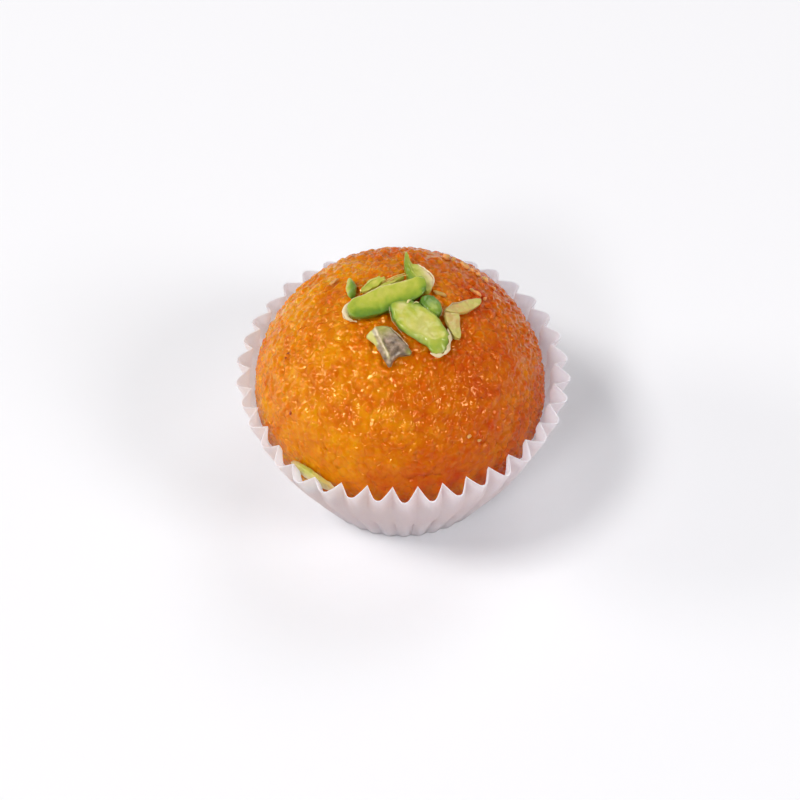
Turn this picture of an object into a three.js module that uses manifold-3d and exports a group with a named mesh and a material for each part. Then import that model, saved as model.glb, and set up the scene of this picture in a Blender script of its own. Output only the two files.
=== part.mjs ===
// A motichoor ladoo in its fluted paper case, topped with cut pistachios.
// Millimetres, +Z up. The case stands on z = 0 and is centred on the Z axis.
import * as THREE from 'three';
import { ConvexHull } from 'three/addons/math/ConvexHull.js';
import { mergeVertices } from 'three/addons/utils/BufferGeometryUtils.js';
import Module from 'manifold-3d';

const wasm = await Module();
wasm.setup();

// Clear space between pieces that touch.
const GAP = 0.3;
const CUT_CLEAR = 1.2 * GAP; // round a piece that cuts another, as its facets cut corners

// The ladoo is a hand-rolled ball of fried gram-flour pearls, 48 mm across.
const LADOO_HALF_WIDTH = 24;
const LADOO_HALF_HEIGHT = 21.2;
const LADOO_FLAT = 1.2; // how much of the underside is pressed flat
const LADOO_TAPER = 0.04; // share by which the lower half draws in
const LADOO_TAPER_DEPTH = 12; // depth below the middle at which it has done so
const LADOO_LUMP = 0.16; // height of the broad dents that rolling leaves
const PEARL_SPACING = 1.92;
const PEARL_SHAKE = 0.24; // how far a pearl may stray, as a share of the spacing
const HEX_CELL = Math.sqrt(3) / 2; // area that a pearl covers at a spacing of one
const PEARL_RISE = 0.13; // mean height of a pearl
const PEARL_SINK = 0.15; // mean depth between pearls
const PEARL_VARIETY = 0.4; // how far one pearl's height may differ, as a share
const PEARLS_DOWN_TO = -2; // pearls show from the top down to this height
const PLAIN_SPACING = 4.2; // spacing of points where the case hides the ball

// The case is one pressed disc of thin white paper.
const FLUTES = 38;
const FLUTE_CROWDING = 0.0225; // flutes sit closer at the front and back
const FLUTE_START = THREE.MathUtils.degToRad(0.9);
const COLUMNS_PER_FLUTE = 4;
const CASE_WALL = 0.35;
const CASE_HEIGHT = 24.35;
const CREASE_RISE = 0.6; // inner creases stand a little higher at the rim
const CASE_BASE_RADIUS = 16.2;
const CASE_RIM_RADIUS = 27.5;
const FLUTE_BASE_DEPTH = 0.4;
const FLUTE_RIM_DEPTH = 2.15;
const FLUTE_ROUNDNESS = 0.7; // under 1 rounds the ridges and keeps the creases sharp
const CASE_BELLY = 0.7; // outward bow of the wall at half height
const CASE_ROWS = [0, 0.05, 0.33, 0.57, 0.79, 1]; // shares of the wall height
const CASE_CLEAR = 0.8; // from the smooth ball to the paper that it presses on
const CASE_OFFSET = 0.45; // the ball sits this far to the left of the axis

// The sliver tucked in at the front left pushes the paper out.
const SLIVER_AZIMUTH = THREE.MathUtils.degToRad(-125);
const SLIVER_PUSH = 2; // at a crease
const RIDGE_PUSH = 0.6; // a ridge moves by this share of that
const SLIVER_SPREAD = THREE.MathUtils.degToRad(16);

const LADOO_CENTRE = new THREE.Vector3(
  -CASE_OFFSET,
  0,
  CASE_WALL + GAP + LADOO_HALF_HEIGHT - LADOO_FLAT,
);

const MATERIALS = {
  boondi: { color: 0xd67a1c, roughness: 0.35, metalness: 0 },
  paper: { color: 0xf1eeee, roughness: 0.85, metalness: 0 },
  kernelGreen: { color: 0x7fa53c, roughness: 0.5, metalness: 0 },
  kernelPale: { color: 0xbfc96b, roughness: 0.5, metalness: 0 },
  kernelSkin: { color: 0x8a7466, roughness: 0.6, metalness: 0 },
};

/** A repeatable random number from 0 to 1, so that every build is the same. */
function makeRandom(seed) {
  let state = seed;
  return () => {
    state = (state * 1664525 + 1013904223) % 4294967296;
    return state / 4294967296;
  };
}

/** A geometry from a list of points and a list of triangles. */
function geometryFrom(points, triangles) {
  const geometry = new THREE.BufferGeometry();
  geometry.setFromPoints(points);
  geometry.setIndex(triangles);
  return geometry;
}

/**
 * A closed body round an axis. Each column lists points from the lower pole up the outside to
 * the upper pole, and all columns share their first and last point.
 */
function closedRound(columns) {
  const rows = columns[0].length - 2;
  const points = columns.flatMap((column) => column.slice(1, -1));
  const low = points.push(columns[0][0]) - 1;
  const high = points.push(columns[0].at(-1)) - 1;
  const triangles = [];
  columns.forEach((_, j) => {
    const here = j * rows;
    const next = ((j + 1) % columns.length) * rows;
    triangles.push(low, next, here);
    for (let i = 0; i < rows - 1; i += 1) {
      triangles.push(here + i, next + i, next + i + 1);
      triangles.push(here + i, next + i + 1, here + i + 1);
    }
    triangles.push(here + rows - 1, next + rows - 1, high);
  });
  return geometryFrom(points, triangles);
}

/** The solid of a closed geometry, for joining and cutting. */
function toSolid(geometry) {
  const bare = geometry.clone();
  bare.deleteAttribute('normal');
  bare.deleteAttribute('uv');
  const merged = mergeVertices(bare, 1e-4);
  return new wasm.Manifold(
    new wasm.Mesh({
      numProp: 3,
      vertProperties: new Float32Array(merged.attributes.position.array),
      triVerts: new Uint32Array(merged.index.array),
    }),
  );
}

function toGeometry(solid) {
  const { vertProperties, triVerts } = solid.getMesh();
  const geometry = new THREE.BufferGeometry();
  geometry.setAttribute('position', new THREE.BufferAttribute(vertProperties, 3));
  geometry.setIndex(new THREE.BufferAttribute(triVerts, 1));
  return geometry;
}

function namedMesh(name, geometry, look) {
  const mesh = new THREE.Mesh(geometry, new THREE.MeshStandardMaterial(MATERIALS[look]));
  mesh.name = name;
  return mesh;
}

// ---- The ladoo -------------------------------------------------------------------------

/** How far the ball draws in at a height above its middle, as a share of its full width. */
function taperAt(height) {
  return 1 - LADOO_TAPER * THREE.MathUtils.smoothstep(-height, 0, LADOO_TAPER_DEPTH);
}

/** The radius of the smooth ball at a height above its middle. */
function ladooRadius(height) {
  const share = THREE.MathUtils.clamp(height / LADOO_HALF_HEIGHT, -1, 1);
  return LADOO_HALF_WIDTH * Math.sqrt(1 - share * share) * taperAt(height);
}

/** The outward normal of the ball in a direction from its middle. */
function ladooNormal(direction) {
  return new THREE.Vector3(
    direction.x / LADOO_HALF_WIDTH,
    direction.y / LADOO_HALF_WIDTH,
    direction.z / LADOO_HALF_HEIGHT,
  ).normalize();
}

/** A point on the ball, raised along its normal. The underside is pressed flat. */
function ladooPoint(direction, raise) {
  const height = LADOO_HALF_HEIGHT * direction.z;
  const width = LADOO_HALF_WIDTH * taperAt(height);
  const point = new THREE.Vector3(width * direction.x, width * direction.y, height);
  point.addScaledVector(ladooNormal(direction), raise);
  point.z = Math.max(point.z, LADOO_FLAT - LADOO_HALF_HEIGHT);
  return point;
}

/** Broad shallow dents, none where the case holds the ball. */
function lumpAt(direction) {
  const wave =
    Math.sin(3.1 * direction.x + 1.2) * Math.cos(2.7 * direction.y - 0.6) +
    0.6 * Math.sin(5.3 * direction.y + 4.1 * direction.z);
  return LADOO_LUMP * wave * THREE.MathUtils.smoothstep(direction.z, 0.1, 0.5);
}

/** Directions spread evenly over a sphere by the golden angle, then each shaken a little. */
function evenDirections(spacing, random) {
  const area = 4 * Math.PI * LADOO_HALF_WIDTH * LADOO_HALF_HEIGHT;
  const count = Math.round(area / (HEX_CELL * spacing ** 2));
  const golden = Math.PI * (3 - Math.sqrt(5));
  const shake = (PEARL_SHAKE * spacing) / LADOO_HALF_WIDTH;
  return Array.from({ length: count }, (_, i) => {
    const polar = Math.acos(1 - (2 * i + 1) / count);
    const direction = new THREE.Vector3().setFromSphericalCoords(1, polar, i * golden);
    direction.set(direction.x, direction.z, direction.y);
    const shift = new THREE.Vector3(random() - 0.5, random() - 0.5, random() - 0.5);
    return direction.addScaledVector(shift, 2 * shake).normalize();
  });
}

/** The triangles of the hull round directions, each as three indices. */
function hullTriangles(directions) {
  const order = new Map(directions.map((direction, i) => [direction, i]));
  return new ConvexHull().setFromPoints(directions).faces.map((face) => {
    const edge = face.edge;
    return [edge, edge.next, edge.next.next].map((e) => order.get(e.head().point));
  });
}

/** The skin of pressed pearls: each pearl is a raised point among sunk ones. */
function pearlSkin() {
  const random = makeRandom(7);
  const limit = PEARLS_DOWN_TO / LADOO_HALF_HEIGHT;
  const margin = PEARL_SPACING / LADOO_HALF_HEIGHT;
  const pearls = evenDirections(PEARL_SPACING, random).filter((d) => d.z > limit);
  const plain = evenDirections(PLAIN_SPACING, random).filter((d) => d.z < limit - margin);
  const directions = [...pearls, ...plain];
  const varied = () => 1 + PEARL_VARIETY * (2 * random() - 1);
  const raises = directions.map((_, i) => (i < pearls.length ? PEARL_RISE * varied() : 0));
  hullTriangles(directions)
    .filter((corners) => corners.every((i) => i < pearls.length))
    .forEach((corners) => {
      const middle = new THREE.Vector3();
      corners.forEach((i) => middle.add(directions[i]));
      directions.push(middle.normalize());
      raises.push(-PEARL_SINK * varied());
    });
  const points = directions.map((d, i) => ladooPoint(d, raises[i] + lumpAt(d)));
  return geometryFrom(points, hullTriangles(directions).flat());
}

/** The direction in which the ball's surface lies over or under a place seen from above. */
function directionAt(x, y) {
  const u = x / LADOO_HALF_WIDTH;
  const v = y / LADOO_HALF_WIDTH;
  return new THREE.Vector3(u, v, Math.sqrt(1 - u * u - v * v));
}

/** The frame on the ball at a place seen from above: x along the heading, z outwards. */
function frameOnLadoo(x, y, lift, heading) {
  const direction = directionAt(x, y);
  const out = ladooNormal(direction);
  const angle = THREE.MathUtils.degToRad(heading);
  const along = new THREE.Vector3(Math.cos(angle), Math.sin(angle), 0).projectOnPlane(out).normalize();
  const across = new THREE.Vector3().crossVectors(out, along);
  const frame = new THREE.Matrix4().makeBasis(along, across, out);
  return frame.setPosition(ladooPoint(direction, lift));
}

// Pistachio crumbs pressed into the ball: place seen from above, length, width, heading.
const CRUMBS = [
  { x: 6.1, y: 1.9, length: 2.4, width: 0.9, heading: -10 },
  { x: 12.1, y: 4.2, length: 2.7, width: 1.0, heading: -20 },
  { x: 7.6, y: 13.6, length: 1.8, width: 1.1, heading: 30 },
  { x: 10.7, y: 12.2, length: 2.4, width: 1.0, heading: -35 },
  { x: -10.6, y: 6.4, length: 3.0, width: 1.7, heading: 15 },
];
const CRUMB_HEIGHT = 0.65;
const CRUMB_LIFT = 0.05;

function crumb({ x, y, length, width, heading }) {
  const geometry = new THREE.IcosahedronGeometry(1, 0);
  geometry.scale(length / 2, width / 2, CRUMB_HEIGHT);
  geometry.applyMatrix4(frameOnLadoo(x, y, CRUMB_LIFT, heading));
  return geometry;
}

function makeLadoo() {
  const whole = CRUMBS.reduce((solid, c) => solid.add(toSolid(crumb(c))), toSolid(pearlSkin()));
  return namedMesh('ladoo', toGeometry(whole), 'boondi');
}

// ---- The paper case --------------------------------------------------------------------

/** How strongly the tucked-in sliver pushes the paper out at an azimuth, from 0 to 1. */
function pushAt(azimuth) {
  const away = Math.atan2(Math.sin(azimuth - SLIVER_AZIMUTH), Math.cos(azimuth - SLIVER_AZIMUTH));
  return Math.exp(-((away / SLIVER_SPREAD) ** 2));
}

/** How far out from a crease the paper is, from 0 at the sharp crease to 1 on the round ridge. */
function fluteShape(phase) {
  return Math.sin(Math.PI * phase) ** FLUTE_ROUNDNESS;
}

/** The outer radius of the case at an azimuth, a share of its height and a place in a flute. */
function caseRadius(azimuth, share, phase) {
  const { lerp } = THREE.MathUtils;
  const push = SLIVER_PUSH * pushAt(azimuth) * share ** 2;
  const bow = CASE_BELLY * Math.sin(Math.PI * share);
  const free = lerp(CASE_BASE_RADIUS, CASE_RIM_RADIUS, share) + bow;
  const folded = free - lerp(FLUTE_BASE_DEPTH, FLUTE_RIM_DEPTH, share) + push;
  const held = ladooRadius(share * CASE_HEIGHT - LADOO_CENTRE.z) - CASE_OFFSET * Math.cos(azimuth);
  const crease = Math.max(folded, held + CASE_CLEAR + CASE_WALL);
  return lerp(crease, free + RIDGE_PUSH * push, fluteShape(phase));
}

/** One column of the case: under the floor, up the outside, over the rim and down inside. */
function caseColumn(j) {
  const phase = (j % COLUMNS_PER_FLUTE) / COLUMNS_PER_FLUTE;
  const turn = FLUTE_START + (2 * Math.PI * j) / (FLUTES * COLUMNS_PER_FLUTE);
  const azimuth = turn + FLUTE_CROWDING * Math.sin(2 * turn);
  const at = (radius, z) =>
    new THREE.Vector3(radius * Math.cos(azimuth), radius * Math.sin(azimuth), z);
  const rise = CREASE_RISE * (1 - fluteShape(phase));
  const outside = CASE_ROWS.map((share) =>
    at(caseRadius(azimuth, share, phase), share * (CASE_HEIGHT + rise)),
  );
  const inside = CASE_ROWS.map((share) =>
    at(
      caseRadius(azimuth, share, phase) - CASE_WALL,
      Math.max(share * (CASE_HEIGHT + rise), CASE_WALL),
    ),
  );
  return [at(0, 0), ...outside, ...inside.reverse(), at(0, CASE_WALL)];
}

function makeCase() {
  const columns = Array.from({ length: FLUTES * COLUMNS_PER_FLUTE }, (_, j) => caseColumn(j));
  return namedMesh('paper_case', closedRound(columns), 'paper');
}

// ---- The cut pistachios ----------------------------------------------------------------

// Cross-sections of a cut piece from its underside to its top: share of the outline, share
// of the thickness.
const SECTIONS = {
  slice: [[0, -0.5], [0.88, -0.5], [1, -0.2], [1, 0.2], [0.88, 0.5], [0, 0.5]],
  halfFaceUp: [[0, -1], [0.6, -0.86], [0.9, -0.5], [1, -0.12], [0.93, 0], [0, 0.04]],
  halfBackUp: [[0, -0.05], [0.92, -0.05], [1, 0.12], [0.88, 0.55], [0.5, 0.9], [0, 1]],
};
// How far a piece grown all round by one millimetre is shifted up to stay centred.
const RAISED = { slice: 0, halfFaceUp: 1, halfBackUp: -1 };

/**
 * A cut piece lying in its own frame, its length along x and its top facing z.
 * squareness 2 gives an ellipse and more gives blunt ends; point draws the far end to a tip,
 * the sooner the smaller pointPower is;
 * sag bends both ends down, and sweep bends them sideways, in millimetres.
 */
function cutPiece(shape) {
  const { length, width, thickness, section, columns = 16, squareness = 2 } = shape;
  const { point = 0, pointPower = 1.5, sag = 0, sweep = 0 } = shape;
  const power = 2 / squareness;
  const column = (j) => {
    const angle = (2 * Math.PI * j) / columns;
    const along = Math.sign(Math.cos(angle)) * Math.abs(Math.cos(angle)) ** power;
    const aside = Math.sign(Math.sin(angle)) * Math.abs(Math.sin(angle)) ** power;
    const narrow = 1 - point * ((along + 1) / 2) ** pointPower;
    return SECTIONS[section].map(([outline, rise]) => {
      const x = outline * along;
      return new THREE.Vector3(
        (x * length) / 2,
        (outline * aside * narrow * width) / 2 + sweep * x * x,
        rise * thickness - sag * x * x,
      );
    });
  };
  return closedRound(Array.from({ length: columns }, (_, j) => column(j)));
}

// Each piece: its shape, the place of its middle seen from above relative to the middle of the
// ball, its lift off the ball, its heading, roll and pitch, and the pieces that lie over it.
// Millimetres and degrees.
const PISTACHIOS = {
  pistachio_long_slice: {
    look: 'kernelGreen', section: 'halfBackUp', squareness: 3, columns: 20,
    length: 14.2, width: 4.3, thickness: 1.9, x: -2.2, y: -0.5, lift: 0.6, heading: 23, roll: 24,
  },
  pistachio_half_kernel: {
    look: 'kernelPale', section: 'halfFaceUp', squareness: 2.5, columns: 22,
    length: 11.6, width: 6.1, thickness: 2.3, x: 3.3, y: -6.0, lift: 1.9, heading: -42,
  },
  pistachio_end_piece: {
    look: 'kernelGreen', section: 'halfBackUp', squareness: 2.2,
    length: 4.2, width: 3.4, thickness: 2.1, x: 5.4, y: -1.4, lift: 0.5, heading: -30,
    over: ['pistachio_long_slice', 'pistachio_half_kernel'],
  },
  pistachio_pointed_slice: {
    look: 'kernelPale', section: 'slice', point: 0.93, pointPower: 0.8, sweep: 0.8, columns: 20,
    length: 9.2, width: 6.2, thickness: 1.1, x: 2.9, y: 5.7, lift: 0.9, heading: 110, pitch: -6,
    over: ['pistachio_long_slice'],
  },
  pistachio_shred_a: {
    look: 'kernelPale', section: 'slice', squareness: 3, columns: 12,
    length: 4.8, width: 1.5, thickness: 0.8, x: -4.7, y: 3.0, lift: 0.8, heading: 29,
    over: ['pistachio_long_slice'],
  },
  pistachio_shred_b: {
    look: 'kernelPale', section: 'slice', squareness: 3, columns: 12,
    length: 4.8, width: 1.1, thickness: 0.8, x: -1.1, y: 4.2, lift: 0.8, heading: 30, roll: -8,
    over: ['pistachio_long_slice', 'pistachio_pointed_slice', 'pistachio_shred_a'],
  },
  pistachio_chip: {
    look: 'kernelGreen', section: 'halfBackUp', columns: 14,
    length: 4.4, width: 1.8, thickness: 1.4, x: -8.0, y: 3.0, lift: 0.5, heading: 86, roll: -20,
  },
  pistachio_skin_piece: {
    look: 'kernelSkin', section: 'halfBackUp', squareness: 3.4,
    length: 7.0, width: 4.1, thickness: 1.5, x: -1.7, y: -8.6, lift: 0.5, heading: -52,
    over: ['pistachio_half_kernel'],
  },
  pistachio_sliver: {
    look: 'kernelPale', section: 'slice', squareness: 3, columns: 14,
    length: 7.6, width: 2.1, thickness: 1.0, x: 10.1, y: -0.5, lift: 0.8, heading: 30,
    over: ['pistachio_end_piece'],
  },
  pistachio_strip: {
    look: 'kernelPale', section: 'slice', squareness: 3, columns: 14,
    length: 5.0, width: 1.8, thickness: 1.0, x: 8.3, y: -4.6, lift: 0.9, heading: -82,
    over: ['pistachio_half_kernel', 'pistachio_sliver'],
  },
  pistachio_tucked_sliver: {
    look: 'kernelPale', section: 'slice', squareness: 2.6, sag: 0.4,
    length: 8.6, width: 2.6, thickness: 0.9, x: -13.6, y: -19.5, lift: 1.0, heading: -35,
  },
};

/** The smooth ball grown by the pearls' rise and the gap, which cuts pieces that rest on it. */
function ladooClearance() {
  const raise = PEARL_RISE * (1 + PEARL_VARIETY) + LADOO_LUMP + GAP;
  const around = 40;
  const up = 20;
  const column = (j) =>
    Array.from({ length: up + 1 }, (_, i) => {
      const polar = Math.PI * (1 - i / up);
      const azimuth = (2 * Math.PI * j) / around;
      const across = Math.sin(polar);
      const direction = new THREE.Vector3(
        across * Math.cos(azimuth),
        across * Math.sin(azimuth),
        Math.cos(polar),
      );
      return ladooPoint(direction, raise);
    });
  return toSolid(closedRound(Array.from({ length: around }, (_, j) => column(j))));
}

/** A cut piece in its place on the ball, grown all round by a clear space. */
function placedPiece(shape, clear = 0) {
  const grown = {
    ...shape,
    length: shape.length + 2 * clear,
    width: shape.width + 2 * clear,
    thickness: shape.thickness + 2 * clear,
  };
  const { degToRad } = THREE.MathUtils;
  const turn = new THREE.Euler(degToRad(shape.roll ?? 0), degToRad(shape.pitch ?? 0), 0);
  const tilt = new THREE.Matrix4().makeRotationFromEuler(turn);
  const lift = new THREE.Matrix4().makeTranslation(0, 0, RAISED[shape.section] * clear);
  const frame = frameOnLadoo(shape.x, shape.y, shape.lift, shape.heading);
  return toSolid(cutPiece(grown).applyMatrix4(frame.multiply(tilt).multiply(lift)));
}

/** A piece cut clear of the ball and of the pieces that lie over it. */
function makePistachio(name, ball) {
  const shape = PISTACHIOS[name];
  const above = (shape.over ?? []).map((other) => placedPiece(PISTACHIOS[other], CUT_CLEAR));
  const cutters = [ball, ...above];
  const solid = cutters.reduce((left, cutter) => left.subtract(cutter), placedPiece(shape));
  return namedMesh(name, toGeometry(solid), shape.look);
}

const model = new THREE.Group();
const ladoo = new THREE.Group();
const ball = ladooClearance();
ladoo.position.copy(LADOO_CENTRE);
ladoo.add(makeLadoo(), ...Object.keys(PISTACHIOS).map((name) => makePistachio(name, ball)));
model.add(ladoo, makeCase());

export default model;
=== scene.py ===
"""A motichoor ladoo in its fluted paper case, topped with cut pistachios."""
import math

import bpy
import numpy as np
from mathutils import Matrix, Vector, kdtree, noise


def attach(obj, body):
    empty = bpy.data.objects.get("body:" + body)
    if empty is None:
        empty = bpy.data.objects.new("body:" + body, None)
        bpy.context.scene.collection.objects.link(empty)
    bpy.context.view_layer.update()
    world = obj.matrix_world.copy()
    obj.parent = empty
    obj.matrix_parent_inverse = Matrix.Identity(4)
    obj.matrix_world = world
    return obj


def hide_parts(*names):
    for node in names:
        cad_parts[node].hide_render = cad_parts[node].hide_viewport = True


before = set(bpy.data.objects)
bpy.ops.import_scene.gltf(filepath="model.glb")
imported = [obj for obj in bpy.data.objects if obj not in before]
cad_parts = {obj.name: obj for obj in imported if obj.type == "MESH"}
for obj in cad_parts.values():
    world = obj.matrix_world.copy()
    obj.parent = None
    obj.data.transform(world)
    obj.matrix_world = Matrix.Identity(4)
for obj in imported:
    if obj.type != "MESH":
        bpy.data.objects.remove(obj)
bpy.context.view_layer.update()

# Shapes are worked out in millimetres, with +Z up, and turned into metres as they are made.
MM = 0.001
GOLDEN_ANGLE = math.pi * (3 - math.sqrt(5))
HEX_CELL = math.sqrt(3) / 2  # area that a pearl covers at a spacing of one


def ease(value, low, high):
    """0 at low, 1 at high, smooth in between. High may be the smaller one."""
    share = np.clip((value - low) / (high - low), 0, 1)
    return share * share * (3 - 2 * share)


def mix(first, second, share):
    return first + (second - first) * share


def unit(vectors):
    return vectors / np.linalg.norm(vectors, axis=-1, keepdims=True)


def grain(points, size, seed=0):
    """Smooth noise from -1 to 1 at points in millimetres, with lumps of about that size."""
    shift = Vector((seed * 17.3, seed * 5.1, seed * 9.7))
    return np.array([noise.noise(Vector(p) / size + shift) for p in points])


def quads_between(loops, corners):
    """Quads that join closed loops of corners, each to the next."""
    here = np.arange(corners)
    after = (here + 1) % corners
    strip = np.column_stack([here, after, after + corners, here + corners])
    return np.vstack([strip + i * corners for i in range(loops - 1)]).tolist()


def make_piece(name, points, faces, marks=None):
    """A smooth mesh from points in millimetres. Marks are numbers kept at each point."""
    mesh = bpy.data.meshes.new(name)
    mesh.from_pydata((np.asarray(points) * MM).tolist(), [], faces)
    mesh.validate()
    mesh.polygons.foreach_set("use_smooth", [True] * len(mesh.polygons))
    for mark, values in (marks or {}).items():
        layer = mesh.attributes.new(mark, "FLOAT", "POINT")
        layer.data.foreach_set("value", np.asarray(values, dtype=np.float32))
    piece = bpy.data.objects.new(name, mesh)
    bpy.context.collection.objects.link(piece)
    return piece


def finish_piece(piece, material, slot_name, *nodes):
    """Gives a piece its material and its place on the part."""
    piece.data.materials.append(material)
    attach(piece, "root")
    if nodes:
        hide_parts(*nodes)


# ---- The ball --------------------------------------------------------------------------

LADOO_HALF_WIDTH = 24.0
LADOO_HALF_HEIGHT = 21.2
LADOO_FLAT = 1.2  # how much of the underside is pressed flat
LADOO_TAPER = 0.04
LADOO_TAPER_DEPTH = 12.0
LADOO_LUMP = 0.16
LADOO_CENTRE = np.array([-0.45, 0.0, 20.65])

PEARL_SPACING = 1.22  # fine boondi swell to 1 to 1.5 mm in syrup
PEARL_SHAKE = 0.42  # how far a pearl may stray, as a share of the spacing
PEARL_RADIUS = 0.62
PEARL_SIZES = (0.7, 1.4)  # the smallest and the largest, as shares of that radius
PEARL_UNEVEN = 0.11  # how much one pearl stands above the next
PEARL_PRESSED = 0.1  # rolling presses the tops of the pearls down to this height
SYRUP_LEVEL = -0.26  # syrup and crumbled paste fill the gaps to this height
SOFTENING = 0.07  # how softly pearl, press and syrup meet
MELTED = 0.07  # how far neighbouring pearls have melted together
FINE_CRUMBLE = 0.04  # broken pearls make the paste uneven, by a fine and a coarse grain
COARSE_CRUMBLE = 0.06

TOP_GRID = 290  # cells along each side of the grid over the top of the ball
TOP_GRID_DOWN_TO = -0.38  # the grid reaches this share of the ball's half height
LOWER_RINGS = 8
RELIEF_FADES = (-0.6, -0.35)  # the hidden underside, below these heights, goes plain

RUBBED_PATCH = 7.0  # width of the patches where palms have rubbed the pearls down
RUBBED_LIMITS = (0.5, 1.2)  # least and most of their height that the pearls keep there
SPARED = (0.75, 1.75)  # the same, on the handled side and on the top and right
WET_PATCH = 3.0  # width of the patches in the film of syrup
WET_LEAST = 0.75  # how wet the handled side is, if the top is 1
WET_PATCHY = 0.35  # how much that changes from patch to patch


def taper_at(height):
    return 1 - LADOO_TAPER * ease(-height, 0, LADOO_TAPER_DEPTH)


def ladoo_radius(height):
    share = np.clip(height / LADOO_HALF_HEIGHT, -1, 1)
    return LADOO_HALF_WIDTH * np.sqrt(1 - share * share) * taper_at(height)


def ladoo_normals(directions):
    half_sizes = [LADOO_HALF_WIDTH, LADOO_HALF_WIDTH, LADOO_HALF_HEIGHT]
    return unit(directions / half_sizes)


def ladoo_points(directions, raises=0.0):
    """Points on the ball, relative to its middle, raised along their normals."""
    height = LADOO_HALF_HEIGHT * directions[:, 2]
    width = LADOO_HALF_WIDTH * taper_at(height)
    points = np.column_stack([width * directions[:, 0], width * directions[:, 1], height])
    points = points + ladoo_normals(directions) * np.reshape(raises, (-1, 1))
    points[:, 2] = np.maximum(points[:, 2], LADOO_FLAT - LADOO_HALF_HEIGHT)
    return points


def lump_at(directions):
    """Broad shallow dents left by rolling, none where the case holds the ball."""
    x, y, z = directions.T
    wave = np.sin(3.1 * x + 1.2) * np.cos(2.7 * y - 0.6) + 0.6 * np.sin(5.3 * y + 4.1 * z)
    return LADOO_LUMP * wave * ease(z, 0.1, 0.5)


def golden_directions(spacing, shake, random):
    """Directions spread evenly over a ball by the golden angle, then each shaken a little."""
    area = 4 * math.pi * LADOO_HALF_WIDTH * LADOO_HALF_HEIGHT
    count = round(area / (HEX_CELL * spacing**2))
    i = np.arange(count)
    z = 1 - (2 * i + 1) / count
    across = np.sqrt(1 - z * z)
    turn = i * GOLDEN_ANGLE
    directions = np.column_stack([across * np.cos(turn), across * np.sin(turn), z])
    stray = shake * spacing / LADOO_HALF_WIDTH
    return unit(directions + stray * random.uniform(-1, 1, directions.shape))


def top_grid():
    """An even square grid laid over the top of a ball: directions, quads and corners of its rim."""
    line = np.linspace(-1, 1, TOP_GRID + 1)
    a, b = np.meshgrid(line, line, indexing="ij")
    wide = np.abs(a) > np.abs(b)
    ring = np.where(wide, a, b)
    with np.errstate(divide="ignore", invalid="ignore"):
        turn = np.where(wide, math.pi / 4 * b / a, math.pi / 2 - math.pi / 4 * a / b)
    turn = np.where(ring == 0, 0, turn)
    z = 1 - ring**2 * (1 - TOP_GRID_DOWN_TO)
    across = np.sqrt(np.maximum(1 - z * z, 0)) * np.sign(ring)
    directions = np.stack([across * np.cos(turn), across * np.sin(turn), z], axis=-1)
    index = np.arange(a.size).reshape(a.shape)
    quads = np.stack([index[:-1, :-1], index[1:, :-1], index[1:, 1:], index[:-1, 1:]], axis=-1)
    rim = np.concatenate([index[:-1, 0], index[-1, :-1], index[:0:-1, -1], index[0, :0:-1]])
    return directions.reshape(-1, 3), quads.reshape(-1, 4), rim


def ladoo_grid():
    """Directions and faces of the whole ball: the fine grid on top and rings below it."""
    directions, quads, rim = top_grid()
    rim_directions = directions[rim]
    turn = np.arctan2(rim_directions[:, 1], rim_directions[:, 0])
    polar_top = math.acos(TOP_GRID_DOWN_TO)
    polars = np.linspace(polar_top, math.pi, LOWER_RINGS + 2)[1:-1]
    rings = [
        np.column_stack(
            [math.sin(p) * np.cos(turn), math.sin(p) * np.sin(turn), 0 * turn + math.cos(p)]
        )
        for p in polars
    ]
    faces = [quads]
    upper = rim
    for k in range(len(rings)):
        lower = len(directions) + k * len(rim) + np.arange(len(rim))
        faces.append(np.column_stack([upper, lower, np.roll(lower, -1), np.roll(upper, -1)]))
        upper = lower
    directions = np.vstack([directions, *rings, [[0, 0, -1.0]]])
    quads = np.vstack(faces).tolist()
    low = len(directions) - 1
    fan = [[int(a), low, int(b)] for a, b in zip(upper, np.roll(upper, -1))]
    return directions, quads + fan


class Pearls:
    """The pressed pearls of the skin: their places, sizes and shades."""

    def __init__(self):
        random = np.random.default_rng(7)
        self.directions = golden_directions(PEARL_SPACING, PEARL_SHAKE, random)
        count = len(self.directions)
        self.points = ladoo_points(self.directions)
        self.radius = PEARL_RADIUS * random.uniform(*PEARL_SIZES, count)
        self.rise = random.normal(0, PEARL_UNEVEN, count)
        self.tone = random.uniform(0, 1, count)
        self.tree = kdtree.KDTree(count)
        for i, point in enumerate(self.points):
            self.tree.insert(point, i)
        self.tree.balance()

    def near(self, points, count=5):
        """Index of and distance to the nearest pearls of each point."""
        found = [self.tree.find_n(p, count) for p in points.tolist()]
        index = np.array([[hit[1] for hit in hits] for hits in found])
        distance = np.array([[hit[2] for hit in hits] for hits in found])
        return index, distance


def soft_max(first, second, soft):
    return (first + second + np.sqrt((first - second) ** 2 + soft**2)) / 2


def pearl_relief(pearls, points):
    """Height of the pressed pearls at points on the ball, and the shade of those near by."""
    index, distance = pearls.near(points)
    crowns = pearls.rise[index] - distance**2 / (2 * pearls.radius[index])
    pull = np.exp(crowns / MELTED)
    relief = MELTED * np.log(pull.sum(axis=1))
    relief = soft_max(relief, SYRUP_LEVEL, SOFTENING)
    relief = -soft_max(-relief, -PEARL_PRESSED, SOFTENING)
    tone = (pull * pearls.tone[index]).sum(axis=1) / pull.sum(axis=1)
    return relief, tone


def rubbed(relief, points):
    """Rolling between palms leaves the pearls fullest on the top and at the right."""
    x, y, z = points.T
    patches = 0.75 + 0.6 * grain(points, RUBBED_PATCH, 1)
    spared = np.maximum(ease(z + 0.4 * y, -4, 16), ease(x, 12, 21))
    return relief * np.clip(patches, *RUBBED_LIMITS) * mix(*SPARED, spared)


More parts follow.
